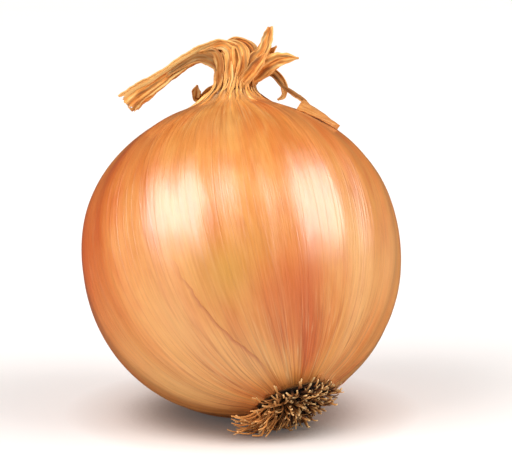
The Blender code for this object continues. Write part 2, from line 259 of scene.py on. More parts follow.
def windowEdge(number, side, theta):
    middle, half, drift = skinWindows[number]
    narrow, late = degreeStep(14, 62, theta), degreeStep(95, 160, theta)
    swing = side * half * (0.25 + 0.75 * narrow) * (1 - 0.18 * late)
    wander = 2.2 * math.sin(2.6 * theta + 4.0 * number + 2.0 * side)
    wander += 0.8 * math.sin(8.0 * theta + 2 * number + side)
    return math.radians(middle + swing + drift * late + wander * narrow)


# how plainly an edge shows: the front window's left edge is a brown fold low down, and its right edge lies smooth
def edgeShows(number, side, theta):
    if number == 0 and side < 0:
        return 0.75 * degreeStep(92, 116, theta) * (1 - 0.6 * degreeStep(138, 158, theta))
    return 0.0 if number == 0 else 0.55 * degreeStep(35, 60, theta)


# patterns of the skin: how far each is drawn out from neck to root, then its noise's scale, detail and
# roughness. One unit is 46 mm, so veins stand about 3 mm apart and hairs 0.7 mm
skinPatternSizes = {
    "veins": (0.035, 15.0, 1.0, 0.4),
    "threads": (0.035, 31.0, 1.0, 0.5),
    "hair": (0.07, 64.0, 3.0, 0.6),
    "streaks": (0.07, 24.0, 2.0, 0.5),
    "bands": (0.07, 7.0, 2.0, 0.5),
    "patches": (0.45, 3.4, 4.0, 0.55),
    "fine": (0.45, 60.0, 3.0, 0.5),
}
skinRamps = {
    "veins": [(0.465, 0.0), (0.5, 1.0), (0.535, 0.0)],
    "threads": [(0.46, 0.0), (0.5, 1.0), (0.54, 0.0)],
    "hair": [(0.32, 0.84), (0.50, 1.0), (0.68, 1.12)],
    "streaks": [(0.36, 0.72), (0.50, 1.0), (0.64, 1.16)],
    "bands": [(0.36, 0.0), (0.64, 1.0)],
}
# veins are faint at the waist and plain near both ends, where they crowd together, and the skin right under
# the neck is dull straw: the thetas where each begins and is full, the most it reaches, and how it grows
skinEnds = {
    "neckCrowd": (0.95, 0.25, 0.62, "LINEAR"),
    "rootCrowd": (2.1, 2.8, 0.55, "LINEAR"),
    "straw": (0.34, 0.13, 0.75, "SMOOTHSTEP"),
}


def skinMaterial(name, look):
    made, tree = emptyMaterial(name)
    place = addNode(tree, "ShaderNodeAttribute", {"attribute_name": "skinPlace"}).outputs["Vector"]
    fromNeck = addNode(tree, "ShaderNodeSeparateXYZ", {}, {0: place}).outputs["Z"]
    tone = addNode(tree, "ShaderNodeAttribute", {"attribute_name": "skinTone"})
    tones = addNode(tree, "ShaderNodeSeparateXYZ", {}, {0: tone.outputs["Vector"]})
    torn = addNode(tree, "ShaderNodeAttribute", {"attribute_name": "skinEdge"})
    edges = addNode(tree, "ShaderNodeSeparateXYZ", {}, {0: torn.outputs["Vector"]})
    patterns, ramps = {}, {}
    for part, (drawn, scale, detail, roughness) in skinPatternSizes.items():
        drawnOut = addNode(tree, "ShaderNodeVectorMath", {"operation": "MULTIPLY"}, {0: place, 1: (1, 1, drawn)})
        grain = addNode(tree, "ShaderNodeTexNoise", {}, {
            "Vector": drawnOut.outputs[0], "Scale": scale, "Detail": detail, "Roughness": roughness})
        patterns[part] = grain.outputs["Fac"]
    for part, stops in [*skinRamps.items(), ("patches", look["patches"])]:
        ramp = addNode(tree, "ShaderNodeValToRGB", {"stops": stops}, {0: patterns[part]})
        ramps[part] = ramp.outputs["Color"]
    ends = {}
    for part, (begins, full, most, growth) in skinEnds.items():
        grown = addNode(tree, "ShaderNodeMapRange", {"interpolation_type": growth}, {
            "Value": fromNeck, "From Min": begins, "From Max": full, "To Min": 0.0, "To Max": most})
        ends[part] = grown.outputs[0]
    crowded = addNode(tree, "ShaderNodeMath", {"operation": "ADD"}, {0: ends["neckCrowd"], 1: ends["rootCrowd"]})
    crowd = crowded.outputs[0]
    shares = {}
    for part, most in (("veins", 0.9), ("threads", 0.75)):
        amount = addNode(tree, "ShaderNodeMath", {"operation": "MULTIPLY_ADD"}, {0: crowd, 1: most, 2: look[part]})
        shown = addNode(tree, "ShaderNodeMath", {"operation": "MULTIPLY", "use_clamp": True},
                        {0: amount.outputs[0], 1: ramps[part]})
        shares[part] = shown.outputs[0]
    colour = ramps["patches"]
    for blend, share, over in (
        ("MULTIPLY", ramps["bands"], hexToLinear(look["band"])),
        ("MIX", tones.outputs["X"], hexToLinear(look["red"])),
        ("MIX", tones.outputs["Y"], hexToLinear(look["pale"])),
        ("MIX", tones.outputs["Z"], hexToLinear(look["yellow"])),
        ("MULTIPLY", shares["veins"], hexToLinear(look["vein"])),
        ("MIX", shares["threads"], hexToLinear(look["thread"])),
        ("MULTIPLY", 0.42, ramps["hair"]),
        ("MULTIPLY", crowd, ramps["streaks"]),
        ("MIX", ends["straw"], hexToLinear(look["straw"])),
        ("MIX", edges.outputs["X"], hexToLinear(look["edge"])),
    ):
        layer = addNode(tree, "ShaderNodeMix", {"data_type": "RGBA", "blend_type": blend},
                        {"Factor": share, 6: colour, 7: over})
        colour = layer.outputs[2]
    height = patterns["hair"]
    for pattern, weight in ((ramps["veins"], 0.5), (patterns["streaks"], 0.9), (patterns["fine"], 0.35)):
        added = addNode(tree, "ShaderNodeMath", {"operation": "MULTIPLY_ADD"}, {0: pattern, 1: weight, 2: height})
        height = added.outputs[0]
    rough = addNode(tree, "ShaderNodeMapRange", {}, {
        "Value": patterns["hair"], "From Min": 0.3, "From Max": 0.7,
        "To Min": look["rough"][0], "To Max": look["rough"][1]})
    bump = addNode(tree, "ShaderNodeBump", {}, {"Strength": look["bump"], "Distance": 0.00012, "Height": height})
    skin = addNode(tree, "ShaderNodeBsdfPrincipled", {}, {
        "Base Color": colour, "Roughness": rough.outputs[0], "Normal": bump.outputs[0], "IOR": 1.62,
        "Specular IOR Level": look["gloss"], "Coat Weight": look["coat"], "Coat Roughness": look["coatRoughness"],
    })
    addNode(tree, "ShaderNodeOutputMaterial", {}, {"Surface": skin.outputs[0]})
    return made


# onion skin: thin dried cellulose sheets with a natural wax, so a broad gloss and a tighter one over it
innerSkin = skinMaterial("glossy inner onion skin", {
    "patches": [(0.33, "DA7A2A"), (0.45, "E18C3A"), (0.55, "E59A48"), (0.69, "DC8232")],
    "band": "F6E6D2", "red": "CC601C", "pale": "E8B06A", "yellow": "D1913A", "vein": "B98058", "thread": "F0C88C",
    "straw": "D2A064", "edge": "C4713A", "veins": 0.10, "threads": 0.06,
    "rough": (0.30, 0.41), "bump": 0.6, "gloss": 0.95, "coat": 0.66, "coatRoughness": 0.18,
})
outerSkin = skinMaterial("dry outer onion skin", {
    "patches": [(0.33, "DB7428"), (0.44, "E38A38"), (0.56, "E89A48"), (0.70, "DF7E30")],
    "band": "F3DCC4", "red": "CC5610", "pale": "E9B16C", "yellow": "D4943E", "vein": "B0704A", "thread": "EEC284",
    "straw": "CF9A5E", "edge": "BA6634", "veins": 0.14, "threads": 0.08,
    "rough": (0.32, 0.44), "bump": 0.8, "gloss": 0.95, "coat": 0.62, "coatRoughness": 0.20,
})


def fibreMaterial(name, look):
    made, tree = emptyMaterial(name)
    # the pattern runs in millimetres: across the leaf, along it, and a number of its own for each leaf
    grain = addNode(tree, "ShaderNodeAttribute", {"attribute_name": "leafGrain"})
    wearAndShade = addNode(tree, "ShaderNodeAttribute", {"attribute_name": "leafWearAndShade"})
    wearAndShadeParts = addNode(tree, "ShaderNodeSeparateXYZ", {}, {0: wearAndShade.outputs["Vector"]})
    fibres = addNode(tree, "ShaderNodeVectorMath", {"operation": "MULTIPLY"},
                     {0: grain.outputs["Vector"], 1: (1.0, 0.07, 1.0)})
    strands = addNode(tree, "ShaderNodeTexNoise", {}, {
        "Vector": fibres.outputs[0], "Scale": 1.5, "Detail": 3.0, "Roughness": 0.5})
    fineStrands = addNode(tree, "ShaderNodeTexNoise", {}, {
        "Vector": fibres.outputs[0], "Scale": 5.0, "Detail": 2.0, "Roughness": 0.5})
    blotches = addNode(tree, "ShaderNodeTexNoise", {}, {
        "Vector": grain.outputs["Vector"], "Scale": 0.32, "Detail": 3.0})
    base = addNode(tree, "ShaderNodeValToRGB", {"stops": look["strands"]}, {0: strands.outputs["Fac"]})
    fineTone = addNode(tree, "ShaderNodeValToRGB", {"stops": [(0.32, "E5D3BE"), (0.5, 1.0), (0.68, 1.15)]},
                       {0: fineStrands.outputs["Fac"]})
    blotch = addNode(tree, "ShaderNodeValToRGB", {"stops": [(0.38, 1.12), (0.62, "EEDFCF")]},
                     {0: blotches.outputs["Fac"]})
    colour = base.outputs["Color"]
    for blend, share, over in (
        ("MULTIPLY", 0.5, fineTone.outputs["Color"]),
        ("MULTIPLY", 0.8, blotch.outputs["Color"]),
        ("MIX", wearAndShadeParts.outputs["Z"], hexToLinear(look["bleached"])),
        # painted shade: the fold colour darkens grooves, pleat hollows, leaf bases, strand edges and leaves lying in
        # shade, over some random browning
        ("MIX", wearAndShadeParts.outputs["X"], hexToLinear(look["fold"])),
        ("MIX", wearAndShadeParts.outputs["Y"], hexToLinear(look["edge"])),
    ):
        layer = addNode(tree, "ShaderNodeMix", {"data_type": "RGBA", "blend_type": blend},
                        {"Factor": share, 6: colour, 7: over})
        colour = layer.outputs[2]
    height = addNode(tree, "ShaderNodeMath", {"operation": "MULTIPLY_ADD"},
                     {0: fineStrands.outputs["Fac"], 1: 0.6, 2: strands.outputs["Fac"]})
    bump = addNode(tree, "ShaderNodeBump", {}, {"Strength": 0.7, "Distance": 0.0003, "Height": height.outputs[0]})
    leaf = addNode(tree, "ShaderNodeBsdfPrincipled", {}, {
        "Base Color": colour, "Roughness": look["rough"], "Normal": bump.outputs[0], "IOR": 1.45,
        "Specular IOR Level": 0.3, "Sheen Weight": 0.05, "Sheen Roughness": 0.5, "Sheen Tint": hexToLinear("FFE6C8"),
    })
    addNode(tree, "ShaderNodeOutputMaterial", {}, {"Surface": leaf.outputs[0]})
    return made


# leaves that dried on the plant: matt fibres the colour of straw, with painted shade making them browner in the folds
driedLeaf = fibreMaterial("dried onion leaf", {
    "strands": [(0.30, "B2642A"), (0.43, "EA9A4A"), (0.56, "FDBB66"), (0.72, "FFDA98")],
    "fold": "5C2C0C", "edge": "EDAE66", "bleached": "FFD488", "rough": 0.55,
})
paleLeaf = fibreMaterial("papery onion leaf", {
    "strands": [(0.30, "BC7030"), (0.46, "CC8440"), (0.60, "D49450"), (0.75, "DCA468")],
    "fold": "A8612C", "edge": "CC8A4C", "bleached": "EAB880", "rough": 0.45,
})


def rootMaterial(name, look):
    made, tree = emptyMaterial(name)
    place = addNode(tree, "ShaderNodeAttribute", {"attribute_name": "rootPlace"})
    parts = addNode(tree, "ShaderNodeSeparateXYZ", {}, {0: place.outputs["Vector"]})
    coords = addNode(tree, "ShaderNodeTexCoord")
    # specks of soil about 1 mm apart
    specks = addNode(tree, "ShaderNodeTexNoise", {}, {
        "Vector": coords.outputs["Object"], "Scale": 900.0, "Detail": 3.0, "Roughness": 0.6})
    along = addNode(tree, "ShaderNodeMath", {"operation": "MULTIPLY_ADD"},
                    {0: specks.outputs["Fac"], 1: 0.35, 2: parts.outputs["X"]})
    shifted = addNode(tree, "ShaderNodeMath", {"operation": "SUBTRACT"}, {0: along.outputs[0], 1: 0.175})
    colour = addNode(tree, "ShaderNodeValToRGB", {"stops": look["along"]}, {0: shifted.outputs[0]})
    own = addNode(tree, "ShaderNodeValToRGB", {"stops": [(0.0, 0.30), (0.5, 0.85), (1.0, 1.35)]},
                  {0: parts.outputs["Y"]})
    tanned = addNode(tree, "ShaderNodeMix", {"data_type": "RGBA"},
                     {"Factor": parts.outputs["Z"], 6: colour.outputs["Color"], 7: hexToLinear(look["tan"])})
    mixed = addNode(tree, "ShaderNodeMix", {"data_type": "RGBA", "blend_type": "MULTIPLY"},
                    {"Factor": 1.0, 6: tanned.outputs[2], 7: own.outputs["Color"]})
    bump = addNode(tree, "ShaderNodeBump", {}, {"Strength": 0.8, "Distance": 0.0003, "Height": specks.outputs["Fac"]})
    root = addNode(tree, "ShaderNodeBsdfPrincipled", {}, {
        "Base Color": mixed.outputs[2], "Roughness": look["rough"], "Normal": bump.outputs[0], "IOR": 1.45,
        "Specular IOR Level": 0.35,
    })
    addNode(tree, "ShaderNodeOutputMaterial", {}, {"Surface": root.outputs[0]})
    return made


# dead roots: brittle pale fibres, nearly black where they leave the plate
driedRoot = rootMaterial("dried onion root", {
    "along": [(0.0, "0D0603"), (0.3, "27140A"), (0.6, "7C4820"), (0.85, "C08A4C"), (1.0, "E8C28A")],
    "tan": "DE954E", "rough": 0.78,
})
rootPlateMatter = rootMaterial("corky root plate", {
    "along": [(0.0, "180C05"), (0.5, "36200F"), (1.0, "5C3A1E")], "tan": "B07C46", "rough": 0.9,
})
print("materials made")


# patches on the skin, two of them partly painted light and shade: theta and turn in degrees, half sizes along and
# across, then redness, paleness
#  and yellowness
tonePatchesAndPaintedLight = [
    # partly painted shade: this red patch deepens the left edge, standing in for shade there as well as the skin's own
    # redness
    (84, -82, 32, 22, 1.0, 0.0, 0.0),
    (124, -76, 20, 14, 0.0, 0.45, 0.0),
    # painted light: this pale patch low on the left stands in for light bounced up from the table
    (146, -70, 18, 20, 0.0, 0.70, 0.0),
    (108, 78, 28, 14, 0.0, 0.55, 0.0),
    (48, 10, 14, 14, 0.20, 0.0, 0.0),
    (141, 3, 9, 8, 0.35, 0.0, 0.0),
    (46, -52, 22, 14, 0.35, 0.0, 0.0),
    (46, 52, 22, 16, 0.30, 0.0, 0.0),
    (56, 24, 14, 12, 0.22, 0.0, 0.0),
    (46, -8, 11, 14, 0.0, 0.30, 0.0),
    (100, 46, 22, 13, 0.0, 0.50, 0.0),
    (108, -14, 13, 11, 0.0, 0.0, 0.95),
    (100, 2, 10, 8, 0.15, 0.0, 0.35),
    (122, 4, 24, 11, 0.70, 0.0, 0.0),
    (124, 20, 24, 9, 0.85, 0.0, 0.0),
    (150, 24, 16, 9, 0.85, 0.0, 0.0),
    (122, -42, 24, 15, 0.0, 0.60, 0.0),
    (147, -20, 16, 15, 0.0, 0.60, 0.0),
    (156, 2, 10, 10, 0.0, 0.50, 0.0),
    (133, 56, 30, 12, 0.0, 0.55, 0.0),
    (90, 150, 30, 16, 0.55, 0.0, 0.0),
    (110, 200, 28, 14, 0.0, 0.45, 0.0),
    (70, 240, 26, 12, 0.50, 0.0, 0.0),
    (130, 110, 26, 12, 0.0, 0.45, 0.0),
]


def toneAt(theta, turn):
    total = Vector((0, 0, 0))
    for t, l, halfT, halfL, *tone in tonePatchesAndPaintedLight:
        away = (math.degrees(turn) - l + 180) % 360 - 180
        total += Vector(tone) * math.exp(-(((math.degrees(theta) - t) / halfT) ** 2) - (away / halfL) ** 2)
    return [min(part, 1.0) for part in total]


def skinPatterns(piece, spots, edges=None):
    keepPattern(piece, "skinPlace", [(math.cos(l), math.sin(l), t) for t, l in spots])
    keepPattern(piece, "skinTone", [toneAt(t, l) for t, l in spots])
    keepPattern(piece, "skinEdge", [(edge, 0.0, 0.0) for edge in edges or [0.0] * len(spots)])


# how far the inner skin lies under the outermost one, which ends short of both poles
def skinGap(theta):
    return bulb["skinDrop"] * softStep(0.28, 0.52, theta) * softStep(0, 0.24, math.pi - theta)


def cutFlat(piece, point, outward):
    pickOnly(piece)
    bpy.ops.object.mode_set(mode="EDIT")
    bpy.ops.mesh.select_all(action="SELECT")
    bpy.ops.mesh.bisect(plane_co=point, plane_no=outward, use_fill=True, clear_outer=True, threshold=1e-6)
    bpy.ops.object.mode_set(mode="OBJECT")


def makeBulb():
    pickNone()
    bpy.ops.mesh.primitive_uv_sphere_add(
        segments=bulb["around"], ring_count=bulb["along"], radius=1, location=(0, 0, 0))
    body = bpy.context.object
    body.name = body.data.name = "bulbInnerSkin"
    spots = []
    for v in body.data.vertices:
        share = math.acos(max(-1.0, min(1.0, v.co.z))) / math.pi
        spots.append((math.pi * share**1.12, math.atan2(v.co.y, v.co.x)))
    placePoints(body, [onSkin(t, l, -skinGap(t)) for t, l in spots])
    skinPatterns(body, spots)
    cutFlat(body, centre + neckDirection * bulb["collarTop"], neckDirection)
    cutFlat(body, centre + rootDirection * bulb["rootFlat"], rootDirection)
    cutFlat(body, (0, 0, 0), (0, 0, -1))
    finishPiece(body, innerSkin, "bulb")


makeBulb()
print("bulb made")


outerSheets = {
    "thickness": 0.00014,
    "across": 110,
    "along": 190,
    "start": 7.2,
    "end": 165.0,
    "clearance": 0.00003,
    "curls": {0: (0.03, 0.0), 1: (0.25, 0.55), 2: (0.20, 0.25)},  # mm, at each window's two edges
    "sunkWidth": 4.5,
    "curlWidth": 1.3,
    "markWidth": 0.8,
    "rootCurl": 0.00045,
    "rootCurlWidth": 1.6,
}


def fade(distance, width):
    return math.exp(-((distance / width) ** 2))


def ragged(seed, theta):
    p = Vector((theta * 9.0, seed * 7.3, 1.7))
    waves = ((1.1, 1.0), (0.5, 3.1), (0.22, 9.0))
    return math.radians(sum(size * noise.noise(p * often) for size, often in waves))


def makeOuterSheet(number):
    follower = (number + 1) % len(skinWindows)
    name = f"outerSkin_{number + 1}"
    sheet, shares = newSheet(name, outerSheets["across"], outerSheets["along"])
    spots, points, edges = [], [], []
    for u, v in shares:
        rootEnd = outerSheets["end"] + 1.6 * noise.noise(Vector((u * 14, number * 5, 0.3)))
        rootEnd += 0.7 * noise.noise(Vector((u * 45, number * 5, 2.3)))
        theta = math.radians(outerSheets["start"] + (rootEnd - outerSheets["start"]) * v**1.05)
        low = windowEdge(number, 1, theta) + ragged(number * 2, theta)
        high = windowEdge(follower, -1, theta) + ragged(number * 2 + 1, theta)
        if follower == 0:
            high += math.tau
        turn = low + (high - low) * u
        reach = bulb["radius"] * max(0.15, math.sin(theta)) * 1000
        fromLow, fromHigh = (turn - low) * reach, (high - turn) * reach
        mid = softStep(0.5, 0.9, theta) * softStep(0, 0.35, math.pi - theta)
        curlLow, curlHigh = (
            outerSheets["curls"][window][side] * (0.4 + 1.2 * max(0, noise.noise(Vector((theta * 2.2, number, row)))))
            for window, side, row in ((number, 1, 4.0), (follower, 0, 9.0))
        )
        showLow, showHigh = edgeShows(number, 1, theta), edgeShows(follower, -1, theta)
        rootGap = (math.radians(rootEnd) - theta) * (bulb["radius"] * 1000)
        sunk = (1 - showLow) * fade(fromLow, outerSheets["sunkWidth"])
        sunk += (1 - showHigh) * fade(fromHigh, outerSheets["sunkWidth"])
        curl = curlLow * showLow * fade(fromLow, outerSheets["curlWidth"])
        curl += curlHigh * showHigh * fade(fromHigh, outerSheets["curlWidth"])
        lift = -(skinGap(theta) + outerSheets["clearance"]) * min(sunk, 1) + mid * curl / 1000
        lift += outerSheets["rootCurl"] * fade(rootGap, outerSheets["rootCurlWidth"])
        spots.append((theta, turn))
        point = onSkin(theta, turn, lift)
        points.append((point.x, point.y, max(point.z, outerSheets["clearance"])))  # flat where the bulb rests
        width = outerSheets["markWidth"]
        mark = max(showLow * fade(fromLow, width), showHigh * fade(fromHigh, width))
        edges.append(min(1.0, mark * mid + 0.5 * fade(rootGap, width)))
    placePoints(sheet, points)
    skinPatterns(sheet, spots, edges)
    giveThickness(sheet, outerSheets["thickness"], 1)
    finishPiece(sheet, outerSkin, "bulb")


for number in range(len(skinWindows)):
    makeOuterSheet(number)
print("outer skin made")


def finishLeaf(piece, points, grain, wearAndShade, material, angle, thickness=0.0):
    placePoints(piece, points)
    keepPattern(piece, "leafGrain", grain)
    keepPattern(piece, "leafWearAndShade", wearAndShade)
    if thickness:
        giveThickness(piece, thickness, 0)
    finishPiece(piece, material, "neck", angle)


# in mm; the profile's rows are a height and a share of the radius
stem = {
    "radius": 5.6,
    "footAngle": 7.1,  # degrees
    "around": 180,
    "along": 44,
    "profile": [(-0.9, 1.02), (0.0, 1.0), (1.4, 0.99), (3.0, 0.95), (5.0, 0.91), (7.5, 0.89), (10.0, 0.84),
                (12.0, 0.64), (13.2, 0.30)],
    "pleatDepth": 0.11,
    "aside": 0.8,
    "lean": 0.02,
}


def inNeck(side, up, depth):
    return neckSeat + (neckSide * side + neckDirection * up + neckDepth * depth) / 1000


def stemRadius(up):
    rows = stem["profile"]
    for (a, ra), (b, rb) in zip(rows, rows[1:]):
        if up <= b:
            return stem["radius"] * (ra + (rb - ra) * max(0.0, (up - a) / (b - a)))
    return stem["radius"] * rows[-1][1]


def stemFold(turn, up):
    broad = math.cos(11 * turn + 0.09 * up + 0.8 * math.sin(3 * turn)) + 0.6 * math.cos(7 * turn + 1.3)
    return 0.55 * broad + 0.35 * gathers(turn + 0.02 * up)


# a point of the stem, up in mm from the collar's top; below it the point lies on the skin
def stemPoint(up, turn, lift=0.0):
    if up < 0:
        return onSkin(math.radians(stem["footAngle"]) - up / (bulb["collarTop"] * 1000), turn, lift / 1000)
    depth = stem["pleatDepth"] * min(1.0, 0.35 + up / 4)
    radius = stemRadius(up) * (1 + depth * stemFold(turn, up)) + lift
    side = radius * math.sin(turn) + stem["aside"] * softStep(-0.5, 1.5, up) + stem["lean"] * up
    return inNeck(side, up, -radius * math.cos(turn))


def makeStem():
    tube, spots = newTube("neckStem", stem["around"], stem["along"])
    low, high = stem["profile"][0][0], stem["profile"][-1][0]
    points, grain, wearAndShade = [], [], []
    for turn, share, reach in spots:
        up = low + (high - low) * share
        point = stemPoint(max(up, 0.0), turn) + neckDirection * min(up, 0.0) / 1000
        if reach < 0.5:
            point = inNeck(stem["aside"], up, 0)
        points.append(point)
        grain.append((turn * 6, up, 3.3))
        fold = stemFold(turn, up)
        # painted shade: darker in the grooves between the stem's folds, and most in those near its foot on the skin
        crease = max(0.0, -0.6 * fold, 0.8 * softStep(2.6, 0.2, up) * softStep(0.2, -0.5, fold))
        wearAndShade.append((min(0.9, crease), 0.0, 0.0))
    finishLeaf(tube, points, grain, wearAndShade, driedLeaf, 50)


# each dried leaf: path in mm (side, up, depth) in the neck's frame, half widths, how hollow it is,
# its pleats, its twist from base to tip in degrees, and how ragged its end is, in mm
leaves = {
    "strapTop": {
        "path": [(0.8, 1, 0), (0.9, 5.5, -0.8), (0.6, 10.2, -1.2), (-3.2, 12.8, -1.3), (-8.0, 11.9, -1.7),
                 (-12.5, 9.8, -2.2), (-17.5, 6.5, -2.7), (-22.6, 3.2, -3.1), (-27.4, 0.6, -3.4),
                 (-31.4, -2.6, -3.4)],
        "half": [3.2, 3.2, 3.2, 2.6, 1.9, 1.6, 1.85, 2.4, 2.8, 3.2],
        "hollow": -1.3, "pleats": 3, "twist": (10, 24), "rag": 2.4, "bleach": 0.95,
    },
    "strapUnder": {
        "path": [(0.4, 1, 0.8), (0.6, 5.2, 0.2), (0.2, 9.4, -0.2), (-3.2, 11.6, -0.5), (-8.0, 10.9, -1.1),
                 (-12.5, 8.8, -1.7), (-17.4, 5.6, -2.3), (-22.4, 2.2, -2.8), (-27.0, -0.6, -3.2),
                 (-30.4, -3.4, -3.3)],
        "half": [2.8, 2.8, 2.6, 2.2, 1.7, 1.4, 1.6, 2.0, 2.4, 2.9],
        "hollow": 1.0, "pleats": 3, "twist": (0, 10), "rag": 3.0,
    },
    "strapFold": {
        "path": [(-2.2, 1, -2.2), (-2.7, 4.2, -2.9), (-3.9, 7.4, -3.1), (-6.3, 9.3, -3.0), (-9.8, 9.9, -2.7),
                 (-14.2, 8.0, -2.8), (-19.0, 4.8, -3.1)],
        "half": [2.2, 2.1, 2.0, 1.9, 1.5, 1.1, 0.5],
        "hollow": -0.9, "pleats": 2, "twist": (0, -20), "rag": 1.6, "paintedShade": 0.75,
    },
    "crownBack": {
        "path": [(0.2, 1, 2.8), (-0.2, 6.0, 3.1), (-0.8, 10.4, 2.7), (1.4, 12.8, 1.3), (4.8, 11.8, 0.6),
                 (6.6, 8.4, 0.2)],
        "half": [3.6, 3.8, 3.6, 3.2, 2.8, 1.8],
        "hollow": -1.4, "pleats": 4, "twist": (0, 10), "rag": 1.2, "bleach": 0.5,
    },
    "crownFront": {
        "path": [(0.8, 0.6, -5.2), (2.1, 3.4, -5.3), (3.4, 7.0, -5.1), (3.5, 10.8, -4.2), (1.8, 13.2, -2.5),
                 (-2.4, 13.8, -1.8)],
        "half": [1.2, 1.3, 1.5, 1.6, 1.4, 0.8], "hollow": -0.8, "pleats": 2, "twist": (0, -20), "rag": 1.2,
    },
    "crownMiddle": {
        "path": [(-1.5, 0.5, -5.1), (-1.0, 3.8, -5.1), (-0.2, 7.4, -4.9), (-0.2, 11.0, -4.0),
                 (-2.4, 13.2, -2.4), (-6.4, 12.7, -2.0)],
        "half": [1.2, 1.2, 1.3, 1.4, 1.2, 0.7], "hollow": -0.8, "pleats": 2, "twist": (0, -20), "rag": 1.2,
    },
    "crownLeft": {
        "path": [(-3.6, 0.4, -3.4), (-3.6, 4.2, -3.6), (-3.6, 8.4, -3.6), (-5.2, 11.4, -2.9),
                 (-9.0, 11.4, -2.5)],
        "half": [1.4, 1.4, 1.4, 1.3, 0.6], "hollow": -0.7, "pleats": 2, "twist": (40, 20), "rag": 1.2, "paintedShade": 0.45,
    },
    "crownSide": {
        "path": [(5.0, 0.6, -2.8), (5.2, 5.2, -2.8), (5.6, 9.0, -2.3), (5.4, 11.6, -1.3), (2.6, 13.8, -0.5),
                 (-1.2, 13.8, -0.3)],
        "half": [1.8, 1.9, 2.0, 2.0, 1.7, 0.9], "hollow": -0.8, "pleats": 3, "twist": (40, 10), "rag": 1.2,
    },
    "frontLeaf": {
        "path": [(3.0, 0.8, -4.9), (4.7, 3.1, -5.6), (6.4, 5.0, -5.9), (8.2, 7.3, -5.6), (9.9, 9.8, -5.1)],
        "half": [1.4, 1.7, 1.8, 1.4, 0.2], "hollow": -0.9, "pleats": 1, "twist": (0, 15), "rag": 0.3,
    },
    "bladeOuter": {
        "path": [(2.2, 1.0, -4.2), (3.9, 4.1, -4.9), (6.5, 7.4, -4.4), (9.0, 10.4, -3.5), (10.5, 13.6, -2.7),
                 (11.3, 16.2, -2.0), (11.9, 18.3, -1.5)],
        "half": [2.0, 2.2, 2.3, 2.0, 1.75, 1.6, 0.9], "hollow": -0.8, "pleats": 2, "twist": (0, 30), "rag": 1.6,
    },
    "bladeInner": {
        "path": [(3.2, 1.4, -3.6), (4.8, 4.3, -3.9), (7.2, 7.4, -3.3), (9.2, 10.0, -2.3), (10.4, 12.6, -1.4),
                 (11.0, 14.8, -0.8)],
        "half": [1.8, 2.0, 2.0, 1.6, 1.3, 0.7], "hollow": 0.6, "pleats": 2, "twist": (10, 20), "rag": 1.4,
    },
    "tagUpper": {
        "path": [(3.0, 2.4, -2.0), (6.2, 3.7, -3.1), (9.4, 5.9, -3.4), (12.4, 7.7, -3.3), (16.0, 8.3, -3.2),
                 (19.6, 8.2, -3.0)],
        "half": [2.0, 2.4, 2.5, 2.2, 1.5, 0.2], "hollow": -0.8, "pleats": 2, "twist": (0, -10), "rag": 0.6,
    },
    "tagUnder": {
        "path": [(3.4, 2.2, -1.0), (6.2, 3.4, -1.9), (9.2, 5.2, -2.1), (12.4, 6.8, -2.1), (16.0, 7.7, -2.2)],
        "half": [1.6, 1.9, 2.0, 1.6, 0.3], "hollow": 0.5, "pleats": 2, "twist": (10, -20), "rag": 1.0,
    },
    "nib": {
        "path": [(6.2, 5.0, 0.4), (8.8, 8.2, -0.2), (11.2, 10.4, -1.0), (13.4, 12.3, -1.4)],
        "half": [1.6, 1.6, 1.2, 0.15], "hollow": -0.4, "pleats": 1, "twist": (0, 20), "rag": 0.4,
    },
    "lowCurl": {
        "path": [(-3.0, 2.0, 3.0), (-6.4, 1.2, 4.2), (-9.2, -0.6, 4.4), (-10.7, -0.9, 3.9), (-10.6, 1.0, 3.4),
                 (-10.2, 3.0, 3.0)],
        "half": [1.5, 1.2, 0.9, 1.0, 1.3, 0.15],
        "hollow": -0.3, "pleats": 1, "twist": (0, 0), "rag": 0.3, "paintedShade": 0.55,
    },
    "hangingCurl": {
        "path": [(5.4, 2.6, 0.6), (9.0, 5.2, 1.1), (12.2, 5.3, 1.5), (14.1, 3.2, 1.5), (15.0, 0.6, 1.5),
                 (14.6, -1.9, 1.5), (12.8, -3.0, 1.4)],
        "half": [1.0, 0.9, 0.8, 0.9, 1.0, 0.8, 0.2],
        "hollow": -0.3, "pleats": 1, "twist": (0, 20), "rag": 0.4, "paintedShade": 0.4,
    },
    "shoulderStrip": {
        "path": [(5.2, 1.6, 2.6), (8.6, 4.6, 2.4), (11.6, 4.6, 1.6), (14.6, 0.7, 0.4), (17.0, -1.6, -1.6),
                 (19.0, -3.6, -3.8), (20.6, -5.3, -6.1)],
        "half": [1.0, 0.8, 0.6, 0.55, 0.6, 0.8, 0.7],
        "hollow": -0.2, "pleats": 1, "twist": (0, 30), "rag": 0.4, "paintedShade": 0.75,
    },
}

# the thin flap on the shoulder: its edge on the skin and its raised edge
shoulderFlap = {
    "low": [(17.1, -9.0, -18.6), (19.8, -10.0, -17.8), (23.0, -11.1, -16.2), (27.0, -12.5, -12.8),
            (29.9, -13.7, -10.3)],
    "top": [(20.4, -4.6, -5.4), (22.2, -6.3, -6.0), (24.6, -8.5, -6.6), (27.5, -11.1, -7.6), (30.0, -13.3, -9.4)],
    "thickness": 0.00022,
    "restRadius": 0.0462,
    "bulge": 0.7,
}


# a point at this share of the smooth curve through the given ones
def smoothPath(points, share):
    ends = [points[0] * 2 - points[1]] + points + [points[-1] * 2 - points[-2]]
    at = min(max(share, 0.0), 1.0) * (len(points) - 1)
    k = min(int(at), len(points) - 2)
    t = at - k
    a, b, c, d = ends[k : k + 4]
    return 0.5 * (b * 2 + (c - a) * t + (a * 2 - b * 5 + c * 4 - d) * t**2 + (b * 3 - a - c * 3 + d) * t**3)


leafSheet = {"across": 22, "along": 96, "thickness": 0.00034}


